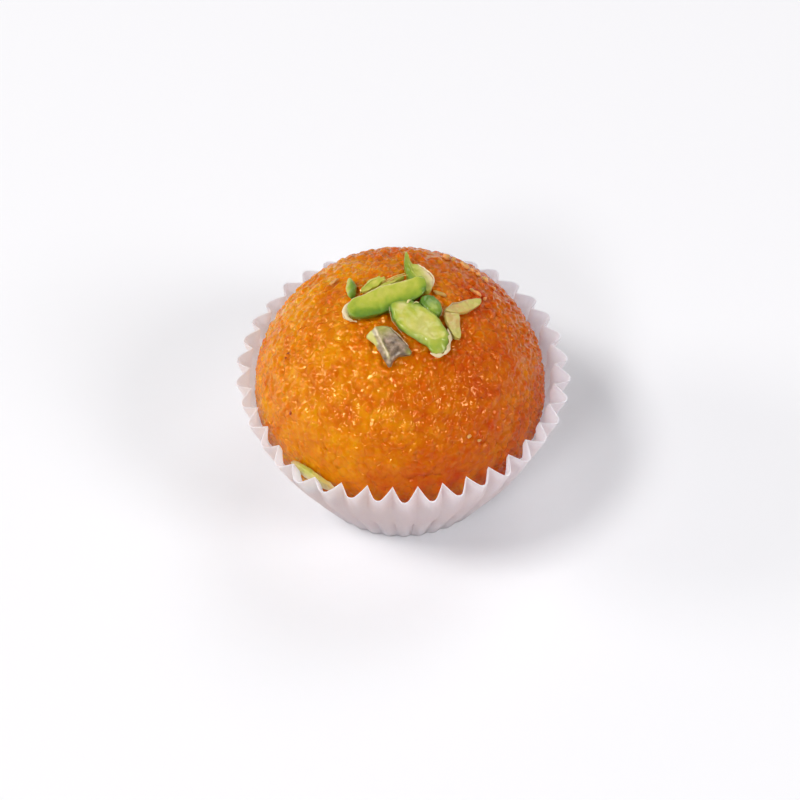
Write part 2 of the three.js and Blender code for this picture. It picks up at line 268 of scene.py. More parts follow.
def syrup_and_painted_shade_at(points):
    """Redder to the right and low down, yellower on the left: partly syrup that has run down, and
    partly painted shade on the side that the lamps light least.
    """
    x, y, z = points.T
    return ease(x - 0.55 * z + 0.05 * y, -22, 7)


def wet_at(points):
    """The film of syrup lies thickest on the top and at the right."""
    x, y, z = points.T
    wet = np.maximum(ease(z + 0.25 * y - 0.1 * x, -2, 10), ease(x + 0.2 * y, 14, 22))
    return np.clip(mix(WET_LEAST, 1, wet) + WET_PATCHY * grain(points, WET_PATCH, 4), 0, 1)


def make_ladoo():
    directions, faces = ladoo_grid()
    base = ladoo_points(directions)
    relief, tone = pearl_relief(Pearls(), base)
    relief = rubbed(relief, base)
    crumble = FINE_CRUMBLE * grain(base, 0.7, 2) + COARSE_CRUMBLE * grain(base, 1.9, 3)
    shown = ease(directions[:, 2], *RELIEF_FADES)
    points = ladoo_points(directions, (relief + crumble) * shown + lump_at(directions))
    marks = {"pearl_tone": tone, "soaked": syrup_and_painted_shade_at(base), "wet": wet_at(base)}
    return make_piece("ladoo_ball", points + LADOO_CENTRE, faces, marks)


# ---- The paper case --------------------------------------------------------------------

FLUTES = 38
FLUTE_CROWDING = 0.0225  # radians by which the flutes bunch up on two sides
FLUTE_START = math.radians(0.9)
COLUMNS_PER_FLUTE = 16
PAPER_THICKNESS = 0.24
CASE_WALL = 0.35  # room that the solid gives the paper
CASE_HEIGHT = 24.35
CREASE_RISE = 1.0  # pressing draws the inner creases up past the rim by this much
CASE_BASE_RADIUS = 16.2
CASE_RIM_RADIUS = 27.5
FLUTE_BASE_DEPTH = 0.4
FLUTE_RIM_DEPTH = 2.35
FLUTE_STEEPNESS = 1.3  # 1 is a plain V, more leaves a flat outer face
FLUTE_SOFTNESS = 0.14
FLUTE_LEAN = 0.0035  # how unlike the flutes are: radians to the side, then millimetres out and up
FLUTE_SWELL = 0.1
FLUTE_LIFT = 0.2
CASE_BELLY = 0.7  # how far the wall bows out half way up
CASE_CLEAR = 0.8  # least room between paper and ball
CASE_ROWS = 26
CASE_ROW_CROWDING = 1.2  # rows are closer near the rim
CASE_FLOOR_RINGS = (0.9, 0.75, 0.5, 0.2)  # shares of the foot's radius
PAPER_CREASE = math.radians(50)  # folds and cut edges sharper than this stay crisp
SLIVER_AZIMUTH = math.radians(-125)  # the tucked sliver pushes the paper out here
SLIVER_PUSH = 2.0
RIDGE_PUSH = 0.6  # share of the push that the outer faces feel
SLIVER_SPREAD = math.radians(16)


def case_radius(azimuth, share, phase):
    """Outer radius of the paper at an azimuth, a share of its height and a place in a flute."""
    away = np.arctan2(np.sin(azimuth - SLIVER_AZIMUTH), np.cos(azimuth - SLIVER_AZIMUTH))
    push = SLIVER_PUSH * np.exp(-((away / SLIVER_SPREAD) ** 2)) * share**2
    bow = CASE_BELLY * np.sin(math.pi * share)
    free = mix(CASE_BASE_RADIUS, CASE_RIM_RADIUS, share) + bow
    folded = free - mix(FLUTE_BASE_DEPTH, FLUTE_RIM_DEPTH, share) + push
    height = share * CASE_HEIGHT - LADOO_CENTRE[2]
    held = ladoo_radius(height) + LADOO_CENTRE[0] * np.cos(azimuth)
    crease = np.maximum(folded, held + CASE_CLEAR + CASE_WALL)
    return mix(crease, free + RIDGE_PUSH * push, flute_shape(phase))


def flute_shape(phase):
    """0 at the sharp crease, 1 on the flat outer face of a flute."""
    side = FLUTE_STEEPNESS * (1 - np.abs(2 * phase - 1))
    return -soft_max(-side, -1, FLUTE_SOFTNESS)


def make_case():
    random = np.random.default_rng(11)
    columns = FLUTES * COLUMNS_PER_FLUTE
    j = np.arange(columns)
    phase = (j % COLUMNS_PER_FLUTE) / COLUMNS_PER_FLUTE
    turn = FLUTE_START + 2 * math.pi * j / columns
    azimuth = turn + FLUTE_CROWDING * np.sin(2 * turn)
    flute = j // COLUMNS_PER_FLUTE
    middle = np.sin(math.pi * phase)  # 0 at the creases, 1 in the middle of a flute
    lean = random.normal(0, FLUTE_LEAN, FLUTES)[flute] * middle
    swell = random.normal(0, FLUTE_SWELL, FLUTES)[flute] * middle**2
    lift = random.normal(0, FLUTE_LIFT, FLUTES)[flute] * middle**2
    shares = 1 - (1 - np.linspace(0, 1, CASE_ROWS)) ** CASE_ROW_CROWDING
    rows = []
    for inset in (0, PAPER_THICKNESS):
        wall = []
        for share in shares:
            radius = case_radius(azimuth, share, phase) + (swell * share**2) - inset
            height = share * (CASE_HEIGHT + CREASE_RISE * (1 - flute_shape(phase)) + lift)
            height = np.maximum(height, inset)
            angle = azimuth + lean * share
            wall.append(np.column_stack([radius * np.cos(angle), radius * np.sin(angle), height]))
        rows.append(wall)
    outer_floor = [rows[0][0] * [s, s, 1] for s in reversed(CASE_FLOOR_RINGS)]
    inner_floor = [rows[1][0] * [s, s, 1] for s in CASE_FLOOR_RINGS]
    loops = outer_floor + rows[0] + rows[1][::-1] + inner_floor
    points = np.vstack(loops + [[[0, 0, 0]], [[0, 0, PAPER_THICKNESS]]])
    faces = quads_between(len(loops), columns)
    low, high = len(points) - 2, len(points) - 1
    last = (len(loops) - 1) * columns
    for k in range(columns):
        following = (k + 1) % columns
        faces.append([low, following, k])
        faces.append([last + k, last + following, high])
    case = make_piece("fluted_paper_case", points, faces)
    case.data.set_sharp_from_angle(angle=PAPER_CREASE)
    return case


# ---- Crumbs and specks -----------------------------------------------------------------

CRUMB_ROOT = 0.15  # added to the top and to the part that sinks into the ball
CRUMB_LIFT = 0.05
CRUMB_TORN = 0.2
CRUMB_TEARS = 0.6  # size of the tears in a crumb
SPECK_HALF_HEIGHT = 0.16
SPECK_LIFT = 0.03
SPECK_TORN = 0.1
SPECK_TEARS = 0.3


def ball_points(rings, columns):
    """A small round body as points and faces, to be squeezed into a crumb."""
    points = [[0, 0, -1.0]]
    for i in range(1, rings):
        polar = math.pi * i / rings
        across, rise = math.sin(polar), -math.cos(polar)
        for k in range(columns):
            turn = 2 * math.pi * k / columns
            points.append([across * math.cos(turn), across * math.sin(turn), rise])
    points.append([0, 0, 1.0])
    faces = []
    for k in range(columns):
        after = (k + 1) % columns
        faces.append([0, 1 + after, 1 + k])
        for i in range(rings - 2):
            low = 1 + i * columns
            faces.append([low + k, low + after, low + columns + after, low + columns + k])
        top = 1 + (rings - 2) * columns
        faces.append([top + k, top + after, len(points) - 1])
    return np.array(points), faces


def join_bodies(name, bodies):
    """One piece from many small bodies, each of points, faces and marks."""
    points, faces, marks = [], [], {}
    count = 0
    for body_points, body_faces, body_marks in bodies:
        points.append(body_points)
        faces += [[corner + count for corner in face] for face in body_faces]
        for mark, value in body_marks.items():
            value = np.clip(np.broadcast_to(value, len(body_points)), 0, 1)
            marks.setdefault(mark, []).append(value)
        count += len(body_points)
    marks = {mark: np.concatenate(values) for mark, values in marks.items()}
    return make_piece(name, np.vstack(points), faces, marks)


# Place seen from above, length, width, height and heading.
CRUMBS = [
    (6.3, 1.7, 2.3, 0.6, 0.3, -12),
    (12.1, 4.2, 2.4, 0.6, 0.4, -20),
    (13.6, 3.6, 0.9, 0.5, 0.4, 40),
    (7.6, 13.6, 1.6, 1.0, 0.8, 30),
    (8.7, 13.1, 0.8, 0.6, 0.5, -35),
    (10.6, 12.1, 2.0, 0.7, 0.5, -30),
    (11.8, 11.2, 0.9, 0.4, 0.4, -20),
    (12.7, 10.7, 1.0, 0.5, 0.4, -50),
    (13.9, 9.7, 1.5, 0.5, 0.4, -45),
    (15.3, 8.0, 0.8, 0.5, 0.4, -60),
    (-10.6, 6.4, 1.8, 0.8, 0.1, 25),
    (10.8, -18.6, 0.8, 0.5, 0.3, 60),
    (12.5, -18.3, 0.6, 0.3, 0.2, 35),
]


def make_crumbs():
    """Crumbs of pistachio that the knife has left between the pieces."""
    bodies = []
    for seed, (x, y, length, width, height, heading) in enumerate(CRUMBS):
        points, faces = ball_points(12, 20)
        points = points * [length / 2, width / 2, height / 2 + CRUMB_ROOT]
        points = roughened(points, CRUMB_TORN, CRUMB_TEARS, 40 + seed)
        points = placed(points, seat_on_ladoo(x, y, CRUMB_LIFT, heading))
        bodies.append((points, faces, {}))
    return join_bodies("pistachio_crumbs", bodies)


# Place seen from above, and width across.
TOASTED_SPECKS = [(-17.8, -4.9, 0.5), (-17.4, -13.3, 0.6), (-18.2, -5.4, 0.3), (12.8, -13.8, 0.3)]


def make_toasted_specks():
    """Flecks of pearls that fried too dark."""
    bodies = []
    for seed, (x, y, width) in enumerate(TOASTED_SPECKS):
        points, faces = ball_points(8, 12)
        points = points * [width / 2, width / 2.6, SPECK_HALF_HEIGHT]
        points = roughened(points, SPECK_TORN, SPECK_TEARS, 60 + seed)
        points = placed(points, seat_on_ladoo(x, y, SPECK_LIFT, 40 * seed))
        bodies.append((points, faces, {}))
    return join_bodies("toasted_specks", bodies)


# ---- The cut pistachios ----------------------------------------------------------------

# Cross-sections from the underside to the top: share of the outline, share of the thickness, and
# how far the outline has turned into that of the cut face.
SECTIONS = {
    "slab": [(0, 0, 0), (0.9, 0, 0), (1, 0.15, 0), (1, 0.8, 0), (0.94, 1, 0), (0, 1.02, 0)],
    "domed": [(0, 0, 0), (0.9, 0, 0), (1, 0.2, 0), (0.97, 0.7, 0), (0.8, 0.95, 0), (0, 1.0, 0)],
    "half_kernel": [
        (0, 0, 0), (0.55, 0.06, 0), (0.88, 0.3, 0), (1, 0.62, 0), (1, 0.78, 0.25),
        (1, 0.98, 1), (0.93, 1.02, 1), (0, 0.98, 1),
    ],
}
RIM_POINTS = 132
SECTION_POINTS = 40
NUT_MARKS = ("deep", "cream", "skin")
CURVE_STEPS = 12  # points of a smooth outline between two corners
KNIFE_WANDER = 0.09  # how far a cut strays from its outline
KNIFE_WAVES = 1.2  # size of the waves that a knife leaves
TORN_GRAIN = 0.05  # fine roughness where the flesh has torn
TORN_GRAIN_SIZE = 0.4
SCRAP_TORN = 0.7  # share of its width that a loose shred keeps


def smooth_outline(corners):
    """A closed curve through the corners, as points around it."""
    corners = np.array(corners, dtype=float)
    before, after, later = (np.roll(corners, k, axis=0) for k in (1, -1, -2))
    step = np.linspace(0, 1, CURVE_STEPS, endpoint=False)[:, None, None]
    curve = corners + 0.5 * step * (
        (after - before)
        + step * (2 * before - 5 * corners + 4 * after - later)
        + step**2 * (3 * corners - before - 3 * after + later)
    )
    curve = curve.transpose(1, 0, 2).reshape(-1, 2)
    x, y = curve.T
    if np.sum(x * np.roll(y, -1) - y * np.roll(x, -1)) < 0:
        curve = curve[::-1]
    return curve


def along(line, count):
    """Points evenly spaced along a line of corners."""
    line = np.array(line, dtype=float)
    length = np.append(0, np.cumsum(np.linalg.norm(np.diff(line, axis=0), axis=1)))
    places = np.linspace(0, length[-1], count)
    return np.column_stack([np.interp(places, length, part) for part in line.T])


def rounded(line, times):
    """The line with its corners cut a few times, as a knife edge softens on a nut."""
    line = np.array(line, dtype=float)
    for _ in range(times):
        early, late = mix(line[:-1], line[1:], 0.25), mix(line[:-1], line[1:], 0.75)
        between = np.stack([early, late], axis=1).reshape(-1, line.shape[1])
        line = np.vstack([line[:1], between[1:-1], line[-1:]])
    return line


def same_turns(curve, rim, middle):
    """Points of another outline that lie at the same turns round the middle as the rim's."""
    turn = np.arctan2(*(curve - middle).T[::-1])
    order = np.argsort(turn)
    reach = np.linalg.norm(curve - middle, axis=1)[order]
    wanted = np.arctan2(*(rim - middle).T[::-1])
    reach = np.interp(wanted, turn[order], reach, period=2 * math.pi)
    return middle + np.column_stack([np.cos(wanted), np.sin(wanted)]) * reach[:, None]


def cut_body(shape):
    """A cut piece in its own frame: points, share of the outline, share of the height, faces."""
    section = along(rounded(SECTIONS[shape["section"]], 2), SECTION_POINTS)
    curve = smooth_outline(shape["outline"])
    rim = along(np.vstack([curve, curve[:1]]), RIM_POINTS + 1)[:-1]
    start, end = np.array(shape["spine"], dtype=float)
    line = end - start
    share = np.clip((rim - start) @ line / (line @ line), 0, 1)
    spine = start + share[:, None] * line
    face = rim
    if "face" in shape:
        face = same_turns(smooth_outline(shape["face"]), rim, (start + end) / 2)
    loops = [
        np.column_stack([spine + s * (mix(rim, face, f) - spine), np.full(RIM_POINTS, r)])
        for s, r, f in section
    ]
    points = np.vstack(loops)
    shares = np.repeat(section[:, 0], RIM_POINTS)
    rises = points[:, 2].copy()
    points[:, 2] = shape["floor"] + rises * shape["thickness"]
    return points, shares, rises, quads_between(SECTION_POINTS, RIM_POINTS)


def roughened(points, amount, size, seed):
    """Knife marks and torn flesh: the piece is pushed about by noise of that size."""
    shift = [grain(points, size, seed + 10 * axis) for axis in range(3)]
    return points + amount * np.column_stack(shift)


def curl(path, widths, thickness, lean, rings=26, columns=10):
    """A thin curled strip along a path, for loose shreds and papery skin."""
    path = along(path, rings)
    ways = unit(np.gradient(path, axis=0))
    side = unit(np.cross(ways, [0, 0, 1.0]))
    up = np.cross(side, ways)
    cosine, sine = math.cos(math.radians(lean)), math.sin(math.radians(lean))
    side, up = side * cosine + up * sine, up * cosine - side * sine
    shares = np.linspace(0, 1, rings)
    half = np.interp(shares, np.linspace(0, 1, len(widths)), widths) * SCRAP_TORN / 2
    half = half * np.clip(0.75 + 1.1 * grain(path, 0.8, 9), 0.15, 1.4)
    turn = 2 * math.pi * np.arange(columns) / columns
    wide, thick = np.cos(turn)[:, None], thickness / 2 * np.sin(turn)[:, None]
    loops = [path[i] + half[i] * wide * side[i] + thick * up[i] for i in range(rings)]
    points = np.vstack(loops + [path[:1], path[-1:]])
    faces = quads_between(rings, columns)
    start, end, top = rings * columns, rings * columns + 1, (rings - 1) * columns
    faces += [[start, (k + 1) % columns, k] for k in range(columns)]
    faces += [[end, top + k, top + (k + 1) % columns] for k in range(columns)]
    return points, faces


def seat_on_ladoo(x, y, lift, heading, roll=0, pitch=0):
    """Where a piece lies: x along its heading, z away from the ball. Degrees and millimetres."""
    u, v = x / LADOO_HALF_WIDTH, y / LADOO_HALF_WIDTH
    direction = np.array([[u, v, math.sqrt(1 - u * u - v * v)]])
    out = Vector(ladoo_normals(direction)[0])
    angle = math.radians(heading)
    forward = Vector((math.cos(angle), math.sin(angle), 0))
    forward = (forward - out * forward.dot(out)).normalized()
    across = out.cross(forward)
    place = Vector(ladoo_points(direction, [lift])[0] + LADOO_CENTRE)
    basis = Matrix((forward, across, out)).transposed().to_4x4()
    roll = Matrix.Rotation(math.radians(roll), 4, "X")
    pitch = Matrix.Rotation(math.radians(pitch), 4, "Y")
    return Matrix.Translation(place) @ basis @ (roll @ pitch)


def placed(points, seat):
    turn = np.array(seat.to_3x3())
    return points @ turn.T + np.array(seat.translation)


def bump_at(points, x, y, size):
    """1 at a place on a piece, fading to 0 over that many millimetres."""
    return np.exp(-(((points[:, 0] - x) ** 2 + (points[:, 1] - y) ** 2) / size**2))


def past(points, a, b):
    """How far points lie to the left of the line from a to b, in millimetres."""
    (ax, ay), (bx, by) = a, b
    length = math.hypot(bx - ax, by - ay)
    return ((bx - ax) * (points[:, 1] - ay) - (by - ay) * (points[:, 0] - ax)) / length


# Each function below tells how deep green, how creamy and how skinned a piece is at its points,
# from their places on the piece in millimetres and their shares of its outline and its height.


def long_slice_marks(points, share, rise):
    """Pale yellow-green above, deeper and bluer along the lower edge, and a cream line along the
    upper edge that is painted highlight where the knife edge catches the light.
    """
    x, y = points[:, :2].T
    deep = 0.2 + 0.5 * ease(-y, -0.4, 2.0) + 0.2 * ease(-x, 1.5, 6) + 0.3 * ease(x, 5.0, 6.6)
    deep = deep + 0.12 * ease(grain(points, 1.3, 2), 0, 0.5)
    # Painted highlight: the cream line along the upper edge stands for light caught there.
    cream = 0.75 * ease(y, 1.2, 1.7) * ease(share, 0.86, 0.96)
    cream = cream * ease(x, 5.5, 3) * ease(rise, 0.3, 0.7)
    return deep, cream, 0.15 * ease(-x, 6.2, 6.7)


def half_kernel_marks(points, share, rise):
    """A pale cut face inside a green flank."""
    x, y = points[:, :2].T
    flank = ease(rise, 1.0, 0.62)
    rim = ease(share, 0.7, 1.0) * (1 - flank)
    deep = 0.2 + 0.1 * grain(points, 1.5, 4) + 0.22 * rim + (0.5 + 0.3 * ease(-x, 0.5, 4)) * flank
    deep = deep + 0.3 * bump_at(points, -3.6, 1.7, 1.1) - 0.35 * bump_at(points, 5.2, -1.8, 1.1)
    cream = 0.2 * bump_at(points, 0.5, -0.4, 2.2) + 0.4 * bump_at(points, -4.6, 0.2, 0.7)
    return deep, cream, 0.45 * flank * ease(x, 4.4, 5.4) * ease(-y, -1.4, 0.6)


def end_piece_marks(points, share, rise):
    # Painted shade: deeper green towards the left end, which lies in shadow; paler in the middle.
    x = points[:, 0]
    return 0.85 - 0.35 * bump_at(points, 0.2, -1.3, 1.1) + 0.2 * ease(-x, 1, 2.3), 0 * x, 0 * x


def pointed_slice_marks(points, share, rise):
    """A green point and left side that pale to a cream right side with a torn white edge."""
    x, y = points[:, :2].T
    deep = 0.25 + 0.45 * ease(y, 0.6, 2.0) + 0.2 * ease(x, 1.5, 4) - 0.2 * ease(-y, -0.4, 1.0)
    cream = mix(0.25, 1.0, ease(-y, 0.3, 1.3)) * ease(-y, -0.6, 0.6) * ease(x, 2.2, 0.6)
    return deep, 0.9 * cream, 0.2 * cream * ease(grain(points, 0.9, 6), 0, 0.5)


def shred_marks(points, share, rise):
    x, y = points[:, :2].T
    edge = ease(share, 0.6, 1.0)
    return 0.22 + 0.25 * grain(points, 1.0, 7), 0.15 * edge * ease(y, -0.6, 0.4), 0 * x


def chip_marks(points, share, rise):
    x, y = points[:, :2].T
    cream = 0.15 * ease(y, -0.35, 0.1) + 0.5 * ease(x, 1.3, 2.0)
    return 0.25 + 0.5 * ease(-y, 0.3, 1.2), cream, 0 * x


SKIN_RIDGE = ((-2.9, -0.2), (1.8, -1.6))


def skin_piece_marks(points, share, rise):
    """Grey-purple skin, folded up to a crest with a thin painted highlight along it, and green
    flesh at one corner.
    """
    x, y = points[:, :2].T
    off_ridge = past(points, *SKIN_RIDGE)
    # Painted highlight: a thin pale band along the crest of the fold, where it catches the light.
    ridge_highlight = np.exp(-((off_ridge / 0.22) ** 2)) * ease(x, 2.6, 1.6)
    flesh = ease(-off_ridge, 0.3, 0.8) * ease(-x, 0.2, 1.4)
    green = 0.6 * ease(-x, 0.2, 2.6) * ease(off_ridge, 0, 0.6)
    green = green + 0.5 * ease(x, 2.2, 3.4) * ease(y, 0.6, 1.6)
    edge = ease(share, 0.9, 1.0) * ease(y, 1.2, 1.8)
    cream = np.clip(0.95 * ridge_highlight + 0.6 * edge + 0.25 * flesh, 0, 1)
    return 0.22 + 0.1 * ease(x, 0, 2), cream, (1 - flesh) * (1 - 0.8 * ridge_highlight) * (1 - green)


def sliver_marks(points, share, rise):
    x, y = points[:, :2].T
    skin = 0.35 * ease(share, 0.75, 1.0) * ease(y, -0.2, 0.5) + 0.15 * ease(-x, 1, 3)
    return 0.1 * ease(x, 0, 3), 0.3 * ease(share, 0.9, 1.0) * ease(y, 0, 0.6), 0.12 + skin


def strip_marks(points, share, rise):
    x, y = points[:, :2].T
    edge = ease(share, 0.85, 1.0) * ease(y, 0.2, 0.8)
    return 0.1 * ease(x, 0, 2), 0.15 * edge, 0.22 + 0.3 * ease(-x, 1.5, 2.4) * ease(-y, 0, 0.8)


def tucked_marks(points, share, rise):
    x, y = points[:, :2].T
    deep = 0.06 + 0.25 * bump_at(points, -1.2, -0.5, 1.2) + 0.5 * bump_at(points, -0.1, -0.4, 0.25)
    return deep, 0.15 + 0.5 * ease(-y, 0.9, 2.1) + 0.4 * ease(-x, 2, 3.6), 0.15 * ease(-x, 2.8, 3.8)


def skin_piece_fold(points, rises):
    """The skinned piece stands highest along its crest and falls away on both sides."""
    off = past(points, *SKIN_RIDGE)
    fall = np.where(off > 0, 0.2 * off, -0.75 * off)
    fall = fall + 0.35 * ease(points[:, 0], 1.5, 3.7)
    return -fall * ease(rises, 0.2, 0.9)


def slice_sag(points, rises):
    """A thin slice that has gone limp on the syrup and hangs down at both ends."""
    return -0.017 * points[:, 0] ** 2


def kernel_swell(points, rises):
    """A cut face that is never quite flat: it swells towards one end and dips at the other."""
    swell = 0.12 * bump_at(points, -2.5, 0.2, 2) - 0.12 * bump_at(points, 1.8, 0.3, 1.3)
    return swell * ease(rises, 0.8, 1)


